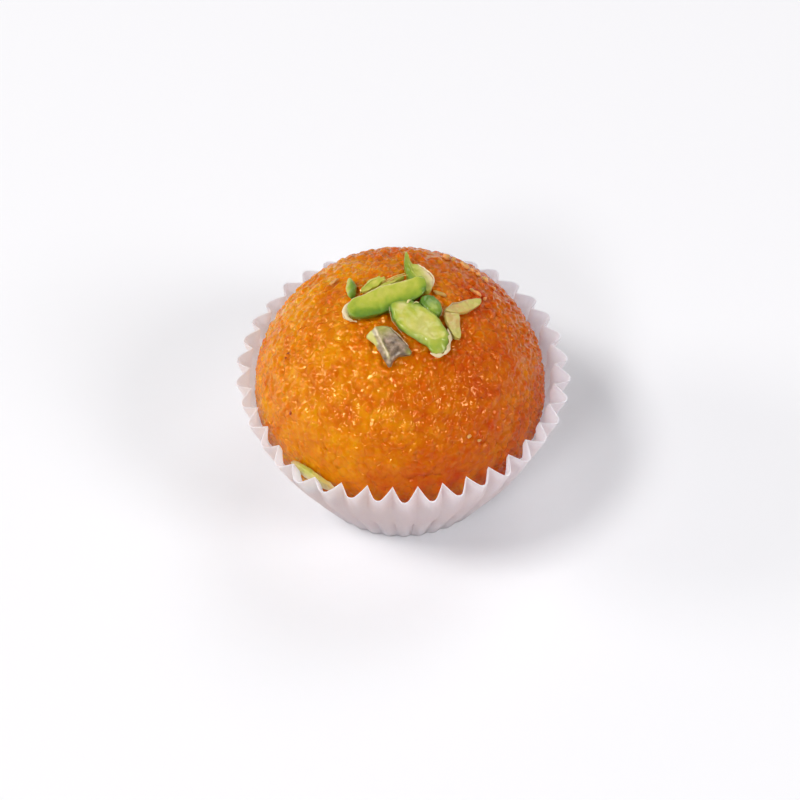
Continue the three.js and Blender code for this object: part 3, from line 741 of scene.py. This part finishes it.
# Floor: height of the underside over its place on the ball. Spine: the line that an outline
# shrinks to. Seat: place on the ball seen from above, lift, heading, roll and pitch. Scraps: path
# of a loose shred or bit of skin, widths along it, thickness, lean and marks.
PISTACHIOS = {
    "pistachio_long_slice": dict(
        section="slab", floor=0.0, thickness=1.75, wander=0.13, marks=long_slice_marks,
        spine=((-5.4, 0.1), (5.3, 0.0)), seat=(-2.2, -0.5, 0.3, 23, 24),
        outline=[
            (-6.5, 0.6), (-5.9, 1.3), (-5.1, 1.7), (-3.0, 1.75), (-1.2, 1.95), (0.5, 1.85),
            (2.9, 1.6), (4.6, 1.45), (6.1, 1.3), (6.75, 0.8), (6.7, -0.3), (6.3, -1.2),
            (5.3, -1.75), (3.8, -2.05), (1.7, -2.2), (-0.6, -2.25), (-2.9, -2.15), (-5.0, -1.7),
            (-6.1, -1.2), (-6.6, -0.3),
        ],
        scraps=[
            ([(-5.8, 1.5, 1.2), (-6.5, 0.9, 1.1), (-6.9, 0.2, 0.8), (-6.9, -0.6, 0.6),
             (-6.3, -1.4, 0.4)], (0.4, 1.5, 2.0, 1.3, 0.3), 0.3, 15, (0.1, 1.0, 0.0)),
            ([(-7.2, 0.5, 0.5), (-7.3, -0.4, 0.3), (-6.7, -1.2, 0.2), (-5.7, -1.7, 0.2)],
             (0.3, 0.8, 0.8, 0.2), 0.22, 35, (0.15, 0.9, 0.15)),
        ],
    ),
    "pistachio_half_kernel": dict(
        section="half_kernel", floor=-2.1, thickness=2.15, wander=0.2, marks=half_kernel_marks,
        form=kernel_swell, spine=((-3.6, 0.3), (2.4, 0.1)), seat=(3.3, -6.0, 1.75, -42),
        outline=[
            (-5.7, -1.1), (-6.1, -0.6), (-6.1, 0.1), (-5.8, 0.9), (-5.3, 1.6), (-4.8, 2.15),
            (-3.4, 2.85), (-2.5, 3.0), (-0.8, 3.1), (0.9, 3.05), (2.4, 2.75), (3.9, 2.05),
            (4.5, 1.4), (5.2, 0.4), (5.5, -0.4), (5.4, -1.3), (4.7, -2.0), (4.0, -2.15),
            (3.2, -2.0), (2.2, -1.95), (1.3, -2.15), (-0.3, -2.6), (-2.1, -2.8), (-3.5, -2.45),
            (-4.6, -2.1),
        ],
        face=[
            (-5.3, -1.1), (-5.55, -0.3), (-4.9, 0.7), (-4.1, 1.5), (-3.1, 2.15), (-2.0, 2.45),
            (-0.9, 2.6), (0.4, 2.6), (1.6, 2.45), (2.8, 2.1), (3.6, 1.6), (3.8, 0.8), (3.5, -0.2),
            (2.6, -1.0), (1.6, -1.45), (0.5, -1.85), (-0.6, -2.2), (-2.0, -2.55), (-3.3, -2.35),
            (-4.2, -1.75),
        ],
        scraps=[
            ([(3.0, 2.75, -0.7), (4.2, 2.0, -0.6), (4.95, 1.0, -0.6), (5.6, 0.0, -0.7),
             (5.6, -1.1, -0.8), (5.0, -2.0, -0.9), (4.0, -2.35, -0.9)],
             (0.2, 0.9, 1.6, 1.2, 1.7, 1.2, 0.2), 0.16, 35, (0.1, 0.85, 0.15)),
            ([(4.9, 0.7, -0.3), (5.4, 0.3, -0.2), (5.9, 0.3, -0.4)], (0.2, 0.35, 0.1), 0.14, 0,
             (0.1, 0.9, 0.35)),
            ([(-4.2, 1.1, 0.0), (-4.5, 1.7, 0.15), (-4.2, 2.0, 0.1)], (0.25, 0.45, 0.1), 0.16, -20,
             (0.05, 0.55, 0)),
            ([(-3.6, 1.8, 0.0), (-3.5, 2.3, 0.2), (-3.0, 2.6, 0.1)], (0.2, 0.5, 0.15), 0.16, 15,
             (0.05, 0.5, 0)),
            ([(-6.0, -0.9, -0.9), (-5.0, -1.9, -0.9), (-3.6, -2.6, -0.9), (-1.6, -3.0, -1.0)],
             (0.1, 0.3, 0.25, 0.1), 0.14, 20, (0.1, 0.6, 0.5)),
        ],
    ),
    "pistachio_end_piece": dict(
        section="domed", floor=-0.2, thickness=1.7, marks=end_piece_marks,
        spine=((-1.0, -0.7), (0.5, -1.0)), seat=(5.4, -1.4, 0.1, -30),
        outline=[
            (-2.3, -1.0), (-2.4, -0.1), (-1.8, 0.7), (-1.0, 1.0), (-0.1, 0.8), (0.8, 0.4),
            (1.4, -0.3), (1.7, -1.2), (1.5, -2.0), (0.6, -2.4), (-0.5, -2.3), (-1.6, -1.9),
        ],
        scraps=[
            ([(-0.6, 1.0, 0.5), (0.7, 0.55, 0.6), (1.5, -0.3, 0.6), (1.8, -1.3, 0.4)],
             (0.1, 0.28, 0.25, 0.1), 0.14, 40, (0.1, 0.7, 0.1)),
        ],
    ),
    "pistachio_pointed_slice": dict(
        section="slab", floor=-0.45, thickness=1.0, marks=pointed_slice_marks,
        spine=((-3.6, 0.5), (1.2, 1.0)), seat=(2.9, 5.7, 0.6, 110, 0, -6),
        outline=[
            (4.9, 0.4), (3.9, 1.0), (2.5, 1.6), (1.3, 2.0), (-0.1, 2.2), (-1.3, 2.4), (-2.5, 2.3),
            (-3.6, 1.8), (-4.6, 1.2), (-5.0, 0.6), (-4.9, -0.1), (-4.4, -0.6), (-3.4, -1.2),
            (-2.4, -1.5), (-1.3, -1.5), (-0.4, -1.2), (0.2, -0.9), (0.9, -0.6), (1.4, 0.0),
            (1.6, 0.5), (2.2, 0.6), (3.0, 0.5), (4.0, 0.3),
        ],
        scraps=[
            ([(1.2, -0.2, 0.5), (0.3, -0.8, 0.6), (-0.7, -1.2, 0.6), (-1.4, -1.5, 0.7),
             (-2.4, -1.6, 0.6), (-3.4, -1.3, 0.5), (-4.2, -0.8, 0.4)],
             (0.1, 0.3, 0.2, 0.45, 0.5, 0.45, 0.15), 0.2, 35, (0.0, 1.0, 0.08)),
            ([(-1.9, 0.9, 0.5), (0.0, 1.3, 0.66), (1.6, 1.2, 0.62), (3.2, 0.9, 0.5)],
             (0.2, 0.4, 0.4, 0.15), 0.22, 0, (0.45, 0.1, 0)),
        ],
    ),
    "pistachio_shred_a": dict(
        section="slab", floor=-0.35, thickness=0.75, marks=shred_marks,
        spine=((-1.0, -0.7), (1.4, -0.4)), seat=(-4.7, 3.0, 0.5, 29),
        outline=[
            (-1.9, -0.5), (-1.3, 0.0), (-0.6, 0.1), (-0.3, 0.5), (0.3, 0.7), (1.2, 0.6),
            (2.1, 0.45), (1.9, 0.05), (2.7, -0.15), (2.1, -0.5), (2.5, -0.85), (1.6, -1.05),
            (0.8, -1.4), (-0.1, -1.3), (-0.8, -1.45), (-1.8, -1.1),
        ],
        scraps=[
            ([(-2.2, -0.9, 0.1), (-1.0, -0.2, 0.5), (0.5, 0.2, 0.55), (1.6, 0.0, 0.4)],
             (0.15, 0.35, 0.3, 0.1), 0.2, 20, (0.15, 0.2, 0)),
        ],
    ),
    "pistachio_shred_b": dict(
        section="slab", floor=-0.35, thickness=0.6, marks=shred_marks,
        spine=((-2.4, -1.2), (0.6, -1.0)), seat=(-1.1, 4.2, 0.5, 30, -8),
        outline=[
            (-3.3, -1.5), (-2.6, -0.95), (-1.7, -0.8), (-0.6, -0.75), (0.7, -0.75), (1.4, -0.85),
            (1.3, -1.1), (0.2, -1.3), (-1.0, -1.6), (-2.2, -1.8), (-3.1, -1.8),
        ],
        scraps=[
            ([(-2.2, -0.5, 0.2), (-1.0, -0.55, 0.4), (0.3, -0.5, 0.45), (1.9, -0.6, 0.4)],
             (0.1, 0.3, 0.25, 0.1), 0.2, 10, (0.0, 0.0, 0)),
            ([(-1.8, -1.0, 0.3), (-0.4, -0.9, 0.5), (1.0, -1.1, 0.45), (2.1, -1.3, 0.3)],
             (0.15, 0.3, 0.25, 0.1), 0.2, -15, (0.05, 0.1, 0)),
        ],
    ),
    "pistachio_chip": dict(
        section="domed", floor=-0.2, thickness=1.1, marks=chip_marks,
        spine=((-2.2, -1.0), (1.0, -0.35)), seat=(-8.0, 3.0, 0.15, 86, -20),
        outline=[
            (2.1, -0.2), (1.5, -0.75), (0.2, -1.3), (-1.2, -1.55), (-2.3, -1.5), (-3.0, -1.2),
            (-2.8, -0.8), (-2.0, -0.3), (-0.7, 0.1), (0.6, 0.25), (1.7, 0.15),
        ],
        scraps=[
            ([(2.0, -0.1, 0.3), (1.0, 0.15, 0.4), (-0.6, 0.1, 0.4), (-2.2, -0.4, 0.3)],
             (0.3, 0.4, 0.35, 0.1), 0.16, -30, (0.1, 0.85, 0.12)),
        ],
    ),
    "pistachio_skin_piece": dict(
        section="slab", floor=-0.3, thickness=1.75, marks=skin_piece_marks, form=skin_piece_fold,
        spine=((-1.8, -0.6), (1.4, -0.5)), seat=(-1.7, -8.6, 0.25, -52),
        outline=[
            (-3.4, -1.8), (-3.6, -1.2), (-3.4, -0.5), (-3.3, 0.3), (-2.8, 1.1), (-1.9, 1.9),
            (-1.0, 1.95), (0.3, 1.9), (1.5, 1.95), (2.6, 2.0), (3.4, 1.8), (3.6, 1.3), (3.1, 0.5),
            (2.7, -0.1), (2.6, -0.8), (2.8, -1.5), (3.1, -2.1), (2.9, -2.5), (2.1, -2.4),
            (0.9, -2.2), (-0.2, -1.95), (-1.5, -1.75), (-2.5, -1.85),
        ],
        scraps=[
            ([(-2.9, -0.15, 1.3), (-1.2, -0.7, 1.45), (0.3, -1.15, 1.4), (1.7, -1.6, 1.2)],
             (0.1, 0.28, 0.25, 0.1), 0.16, 60, (0.1, 1.0, 0.12)),
            ([(-1.9, 1.95, 0.6), (-0.6, 2.05, 0.7), (0.8, 2.0, 0.7), (2.4, 2.05, 0.4)],
             (0.1, 0.25, 0.2, 0.1), 0.14, 40, (0.1, 0.8, 0.3)),
        ],
    ),
    "pistachio_sliver": dict(
        section="slab", floor=-0.4, thickness=0.9, marks=sliver_marks,
        spine=((-2.9, -0.4), (2.4, -0.1)), seat=(10.1, -0.5, 0.5, 30),
        outline=[
            (-4.0, 0.1), (-3.6, 0.5), (-2.4, 0.7), (-1.3, 0.85), (-0.1, 0.9), (1.3, 0.95),
            (2.6, 0.9), (3.35, 0.6), (3.4, 0.3), (3.0, -0.2), (1.9, -0.6), (0.8, -0.9),
            (-0.6, -1.1), (-1.9, -1.0), (-2.9, -0.7), (-3.7, -0.3),
        ],
        scraps=[
            ([(-3.7, 0.3, 0.4), (-2.2, 0.85, 0.5), (-0.6, 0.85, 0.5), (1.2, 0.85, 0.45)],
             (0.15, 0.3, 0.25, 0.1), 0.16, 30, (0.1, 0.7, 0.4)),
        ],
    ),
    "pistachio_strip": dict(
        section="slab", floor=-0.4, thickness=0.9, marks=strip_marks,
        spine=((-1.6, -0.2), (1.7, -0.1)), seat=(8.3, -4.6, 0.6, -82),
        outline=[
            (-2.0, -1.4), (-2.05, -0.9), (-2.1, 0.0), (-2.1, 0.7), (-2.05, 1.0), (-1.8, 1.05),
            (-1.0, 1.0), (0.4, 0.95), (1.8, 0.85), (2.35, 0.75), (2.5, 0.45), (2.45, 0.0),
            (1.9, -0.5), (0.8, -0.9), (-0.7, -1.3), (-1.7, -1.5),
        ],
    ),
    "pistachio_tucked_sliver": dict(
        section="slab", floor=-0.4, thickness=0.8, marks=tucked_marks, form=slice_sag,
        spine=((-2.4, -1.2), (3.2, -1.3)), seat=(-13.6, -19.5, 0.7, -35),
        outline=[
            (-4.1, -1.1), (-3.0, -0.7), (-1.8, -0.5), (-0.6, -0.5), (0.4, -0.7), (1.6, -1.0),
            (2.7, -1.3), (3.8, -1.8), (4.5, -2.2), (4.2, -2.5), (3.2, -2.65), (2.0, -2.6),
            (0.9, -2.5), (-0.3, -2.4), (-1.5, -2.25), (-2.7, -1.9), (-3.6, -1.5),
        ],
    ),
}


def make_pistachio(node, shape, seed):
    points, shares, rises, faces = cut_body(shape)
    marks = shape["marks"](points, shares, rises)
    if "form" in shape:
        points[:, 2] += shape["form"](points, rises)
    bodies = [(points, faces, dict(zip(NUT_MARKS, marks)))]
    for path, widths, thickness, lean, marks in shape.get("scraps", []):
        bodies.append((*curl(path, widths, thickness, lean), dict(zip(NUT_MARKS, marks))))
    seat = seat_on_ladoo(*shape["seat"])
    ready = []
    for i, (points, faces, marks) in enumerate(bodies):
        points = roughened(points, shape.get("wander", KNIFE_WANDER), KNIFE_WAVES, seed)
        points = roughened(points, TORN_GRAIN, TORN_GRAIN_SIZE, seed + 3 + i)
        ready.append((placed(points, seat), faces, marks))
    return join_bodies("cut_" + node, ready)


# ---- Materials -------------------------------------------------------------------------


def srgb(code):
    """A colour from its sRGB hex code, as the linear values that the shaders take."""
    values = [int(code[i : i + 2], 16) / 255 for i in (1, 3, 5)]
    linear = [v / 12.92 if v <= 0.04045 else ((v + 0.055) / 1.055) ** 2.4 for v in values]
    return (*linear, 1)


def add_node(owner, kind, settings=None, links=None):
    """A shader node with its settings, by property or input, and its links. A link comes from a
    socket, or from the first output of a node."""
    node = owner.node_tree.nodes.new("ShaderNode" + kind)
    for name, value in (settings or {}).items():
        if isinstance(name, int) or name in node.inputs:
            node.inputs[name].default_value = value
        elif name == "ramp":
            for place, _ in value[2:]:
                node.color_ramp.elements.new(place)
            for stop, (place, code) in zip(node.color_ramp.elements, sorted(value)):
                stop.position, stop.color = place, srgb(code)
        else:
            setattr(node, name, value)
    for name, source in (links or {}).items():
        if isinstance(source, bpy.types.Node):
            source = source.outputs[0]
        owner.node_tree.links.new(source, node.inputs[name])
    return node


def new_material(name):
    material = bpy.data.materials.new(name)
    material.use_nodes = True
    material.node_tree.nodes.clear()
    return material


def per_mm(size):
    """Texture scale for a pattern of that size in millimetres."""
    return 1 / (size * MM)


def boondi_in_syrup():
    """Fried gram-flour pearls steeped in saffron-coloured syrup and ghee. The paste lets light
    in, so it glows between yellow and red orange, and it is drawn redder as painted shade on the
    side that the lamps light least. The wet film stands in a low ring round each pearl, and the
    crests of the rings give small sharp glints, some round and some like a C."""
    m = new_material("boondi_in_syrup")
    place = add_node(m, "TexCoord").outputs["Object"]
    tone, soaked, wet = (
        add_node(m, "Attribute", {"attribute_name": mark}).outputs["Fac"]
        for mark in ("pearl_tone", "soaked", "wet")
    )
    patch = add_node(m, "TexNoise", {"Scale": per_mm(4.5), "Detail": 3}, {"Vector": place})
    clump = add_node(m, "TexNoise", {"Scale": per_mm(1.5), "Detail": 2}, {"Vector": place})
    # How red the paste is: by the syrup in it and by painted shade on its less lit side, in patches
    # and clumps, and from pearl to pearl.
    level = add_node(m, "Math", {"operation": "MULTIPLY_ADD", 1: 0.45, 2: -0.52}, {0: soaked})
    for source, weight in ((patch, 1.15), (clump, 0.5), (tone, -0.16)):
        added = {"operation": "MULTIPLY_ADD", 1: weight}
        level = add_node(m, "Math", added, {0: source, 2: level})
    stops = [(0.0, "#E8A000"), (1.0, "#C84C00"), (0.5, "#D67800")]
    colour = add_node(m, "ValToRGB", {"ramp": stops}, {"Fac": level})
    # The rings are as wide as the pearls, 1.15 mm, and ripples of 0.5 mm in the film break them.
    film = add_node(m, "TexNoise", {"Scale": per_mm(0.5), "Detail": 1}, {"Vector": place})
    pearl = add_node(m, "TexVoronoi", {"Scale": per_mm(1.15)}, {"Vector": place})
    off_crest = add_node(m, "Math", {"operation": "MULTIPLY_ADD", 1: 0.2, 2: -0.48}, {0: film})
    off_crest = add_node(m, "Math", {"operation": "ADD"}, {0: pearl, 1: off_crest})
    fall = add_node(m, "Math", {"operation": "MULTIPLY"}, {0: off_crest, 1: off_crest})
    bump = add_node(
        m, "Bump", {"invert": True, "Strength": 1.0, "Distance": 0.72 * MM}, {"Height": fall}
    )
    gloss = add_node(m, "Math", {"operation": "MULTIPLY_ADD", 1: -0.2, 2: 0.29}, {0: wet})
    syrup = {
        "IOR": 1.52,
        "Specular IOR Level": 0.75,
        "Specular Tint": srgb("#FFD0A0"),
        "Subsurface Weight": 1.0,
        "Subsurface Radius": (1.0, 0.3, 0.05),
        "Subsurface Scale": 1.0 * MM,
    }
    links = {"Base Color": colour, "Roughness": gloss, "Normal": bump}
    shader = add_node(m, "BsdfPrincipled", syrup, links)
    add_node(m, "OutputMaterial", {}, {"Surface": shader})
    return m


def oily_mottle(name, size, detail, stops, roughness):
    """A thing with a little oil on it, in two colours that mottle at that size."""
    m = new_material(name)
    place = add_node(m, "TexCoord").outputs["Object"]
    mottle = add_node(m, "TexNoise", {"Scale": per_mm(size), "Detail": detail}, {"Vector": place})
    colour = add_node(m, "ValToRGB", {"ramp": stops}, {"Fac": mottle})
    oil = {"Roughness": roughness, "IOR": 1.45}
    shader = add_node(m, "BsdfPrincipled", oil, {"Base Color": colour})
    add_node(m, "OutputMaterial", {}, {"Surface": shader})
    return m


def toasted_gram_flour():
    """Gram flour fried to a dark brown, dull, with charred grains of 0.2 mm."""
    return oily_mottle("toasted_gram_flour", 0.2, 3, [(0.3, "#8A3408"), (0.7, "#B85A14")], 0.55)


def crumbs_in_syrup():
    """Pistachio crumbs that have taken up syrup: olive to tan from crumb to crumb, and wet."""
    return oily_mottle("crumbs_in_syrup", 1.5, 2, [(0.38, "#C2A25C"), (0.62, "#EBA668")], 0.3)


def cut_pistachio():
    """Raw green pistachio, shaved with a knife. Deep green under the skin, pale inside, with a
    faint oily sheen; bits of papery skin stay on. The flesh is mottled at about 1 mm. Its cells
    are too fine to show, so the dimples they leave on a cut are drawn 0.6 mm wide."""
    m = new_material("cut_pistachio")
    place = add_node(m, "TexCoord").outputs["Object"]
    deep, cream, skin = (
        add_node(m, "Attribute", {"attribute_name": mark}).outputs["Fac"] for mark in NUT_MARKS
    )
    mottle = add_node(m, "TexNoise", {"Scale": per_mm(0.9), "Detail": 4}, {"Vector": place})
    depth = add_node(m, "Math", {"operation": "MULTIPLY_ADD", 1: 0.3}, {0: mottle, 2: deep})
    greens = [
        (0.05, "#DDA868"), (1.0, "#668B30"), (0.2, "#D9D074"), (0.42, "#BDC24F"), (0.72, "#96AD3A")
    ]
    green = add_node(m, "ValToRGB", {"ramp": greens}, {"Fac": depth})
    creamed = {"data_type": "RGBA", 7: srgb("#F1DFBA")}
    creamed = add_node(m, "Mix", creamed, {0: cream, 6: green}).outputs[2]
    blotch = add_node(m, "TexNoise", {"Scale": per_mm(0.8), "Detail": 3}, {"Vector": place})
    browns = [(0.3, "#66564A"), (0.75, "#BCA391"), (0.5, "#917E69")]
    brown = add_node(m, "ValToRGB", {"ramp": browns}, {"Fac": blotch})
    skinned = add_node(m, "Mix", {"data_type": "RGBA"}, {0: skin, 6: creamed, 7: brown})
    dimples = add_node(m, "TexNoise", {"Scale": per_mm(0.6), "Detail": 2}, {"Vector": place})
    bump = add_node(m, "Bump", {"Strength": 0.8, "Distance": 0.07 * MM}, {"Height": dimples})
    flesh = {
        "Roughness": 0.38,
        "IOR": 1.45,
        "Specular IOR Level": 0.45,
        "Subsurface Weight": 0.25,
        "Subsurface Radius": (0.8, 1.0, 0.3),
        "Subsurface Scale": 0.4 * MM,
        "Coat Weight": 0.7,
        "Coat Roughness": 0.13,
    }
    links = {"Base Color": skinned.outputs[2], "Normal": bump}
    shader = add_node(m, "BsdfPrincipled", flesh, links)
    add_node(m, "OutputMaterial", {}, {"Surface": shader})
    return m


def greaseproof_paper():
    """White greaseproof paper, pressed into flutes. It is matt and lets a good deal of light
    through, so its inside glows faintly next to the ball. Its fibres are too fine to show, so
    they are drawn as faint clouds 0.6 mm across."""
    m = new_material("greaseproof_paper")
    place = add_node(m, "TexCoord").outputs["Object"]
    fibre = add_node(m, "TexNoise", {"Scale": per_mm(0.6), "Detail": 5}, {"Vector": place})
    whites = [(0.3, "#FAFAFF"), (0.7, "#FCFDFF")]
    colour = add_node(m, "ValToRGB", {"ramp": whites}, {"Fac": fibre})
    bump = add_node(m, "Bump", {"Strength": 0.25, "Distance": 0.05 * MM}, {"Height": fibre})
    matt = {"Roughness": 0.75, "IOR": 1.5}
    face = add_node(m, "BsdfPrincipled", matt, {"Base Color": colour, "Normal": bump})
    glow = add_node(m, "BsdfTranslucent", {}, {"Color": colour, "Normal": bump})
    both = add_node(m, "MixShader", {"Fac": 0.64}, {1: face, 2: glow})
    add_node(m, "OutputMaterial", {}, {"Surface": both})
    return m


def matt_table():
    """A painted white table top."""
    m = new_material("matt_table")
    shader = add_node(m, "BsdfPrincipled", {"Base Color": srgb("#F6F6F9"), "Roughness": 0.9})
    add_node(m, "OutputMaterial", {}, {"Surface": shader})
    return m


# ---- Table, light and camera -----------------------------------------------------------

CAMERA_LENS = 100.0
CAMERA_DISTANCE = 368.22  # from the middle of the ball
CAMERA_ELEVATION = 50.0
CAMERA_DIP = 0.404  # aims this many degrees below the middle of the ball

TABLE_RADIUS = 2500
TABLE_CORNERS = 96

# Direction from the ball, distance and width in millimetres, watts and colour. Small lamps stand
# all round, because the syrup's glints are sharp only if what they mirror is small and bright.
LAMPS = {
    "window": ((-0.88, 0.08, 0.35), 2500, 800, 12.6, "#FFFDF8"),
    "soft_lamp": ((-0.5, -0.2, 0.84), 2000, 560, 12.7, "#FFFEFC"),
    "front_lamp": ((-0.35, -0.7, 0.62), 2000, 400, 6.9, "#FFFFFF"),
    "side_lamp": ((0.7, -0.4, 0.6), 2000, 700, 9.4, "#FFFFFF"),
    "back_lamp": ((0.3, 0.5, 0.8), 2000, 1100, 6.6, "#FFFFFF"),
}


def lay_table():
    turn = np.linspace(0, 2 * math.pi, TABLE_CORNERS + 1)[:-1]
    rim = TABLE_RADIUS * np.column_stack([np.cos(turn), np.sin(turn), 0 * turn])
    table = make_piece("table_top", rim, [list(range(TABLE_CORNERS))])
    table.data.materials.append(matt_table())


def soft_box(name, direction, distance, size, power, colour):
    """A square lamp that faces the ball, from a direction, in millimetres and watts."""
    lamp = bpy.data.lights.new(name, "AREA")
    lamp.shape = "SQUARE"
    lamp.size = size * MM
    lamp.energy = power
    lamp.color = srgb(colour)[:3]
    box = bpy.data.objects.new(name, lamp)
    away = Vector(direction).normalized()
    box.location = (Vector(LADOO_CENTRE) + away * distance) * MM
    box.rotation_mode = "QUATERNION"
    box.rotation_quaternion = away.to_track_quat("Z", "Y")
    bpy.context.collection.objects.link(box)


def light_room():
    """A white room with a dim ceiling, so that little haze lies on the syrup, and its lamps."""
    room = bpy.data.worlds.new("white_room")
    room.use_nodes = True
    room.node_tree.nodes.clear()
    place = add_node(room, "TexCoord").outputs["Generated"]
    height = add_node(room, "SeparateXYZ", {}, {0: place}).outputs["Z"]
    walls = add_node(room, "ValToRGB", {"ramp": [(0.5, "#FFFDFE"), (0.9, "#A6A4A8")]}, {0: height})
    sky = add_node(room, "Background", {"Strength": 0.27}, {"Color": walls})
    add_node(room, "OutputWorld", {}, {"Surface": sky})
    bpy.context.scene.world = room
    for name, lamp in LAMPS.items():
        soft_box(name, *lamp)


def place_camera():
    camera = bpy.data.cameras.new("camera")
    camera.lens = CAMERA_LENS
    camera.sensor_width = 36.0
    camera.clip_start, camera.clip_end = 0.01, 20
    holder = bpy.data.objects.new("camera", camera)
    rise = math.radians(CAMERA_ELEVATION)
    back = Vector((0, -math.cos(rise), math.sin(rise)))
    holder.location = (Vector(LADOO_CENTRE) + back * CAMERA_DISTANCE) * MM
    aim = math.radians(CAMERA_ELEVATION + CAMERA_DIP)
    holder.rotation_mode = "QUATERNION"
    holder.rotation_quaternion = Vector((0, -math.cos(aim), math.sin(aim))).to_track_quat("Z", "Y")
    bpy.context.collection.objects.link(holder)
    bpy.context.scene.camera = holder


# ---- The part --------------------------------------------------------------------------

place_camera()
boondi = boondi_in_syrup()
pistachio = cut_pistachio()
paper = greaseproof_paper()

finish_piece(make_ladoo(), boondi, "boondi", "ladoo")
finish_piece(make_toasted_specks(), toasted_gram_flour(), "boondi")
finish_piece(make_crumbs(), crumbs_in_syrup(), "pistachio")
finish_piece(make_case(), paper, "paper", "paper_case")
for seed, (node, shape) in enumerate(PISTACHIOS.items()):
    slot_name = "pistachio_skin" if node == "pistachio_skin_piece" else "pistachio"
    finish_piece(make_pistachio(node, shape, seed), pistachio, slot_name, node)

lay_table()
light_room()
bpy.context.scene.view_settings.view_transform = "Standard"
bpy.context.scene.view_settings.look = "Medium High Contrast"
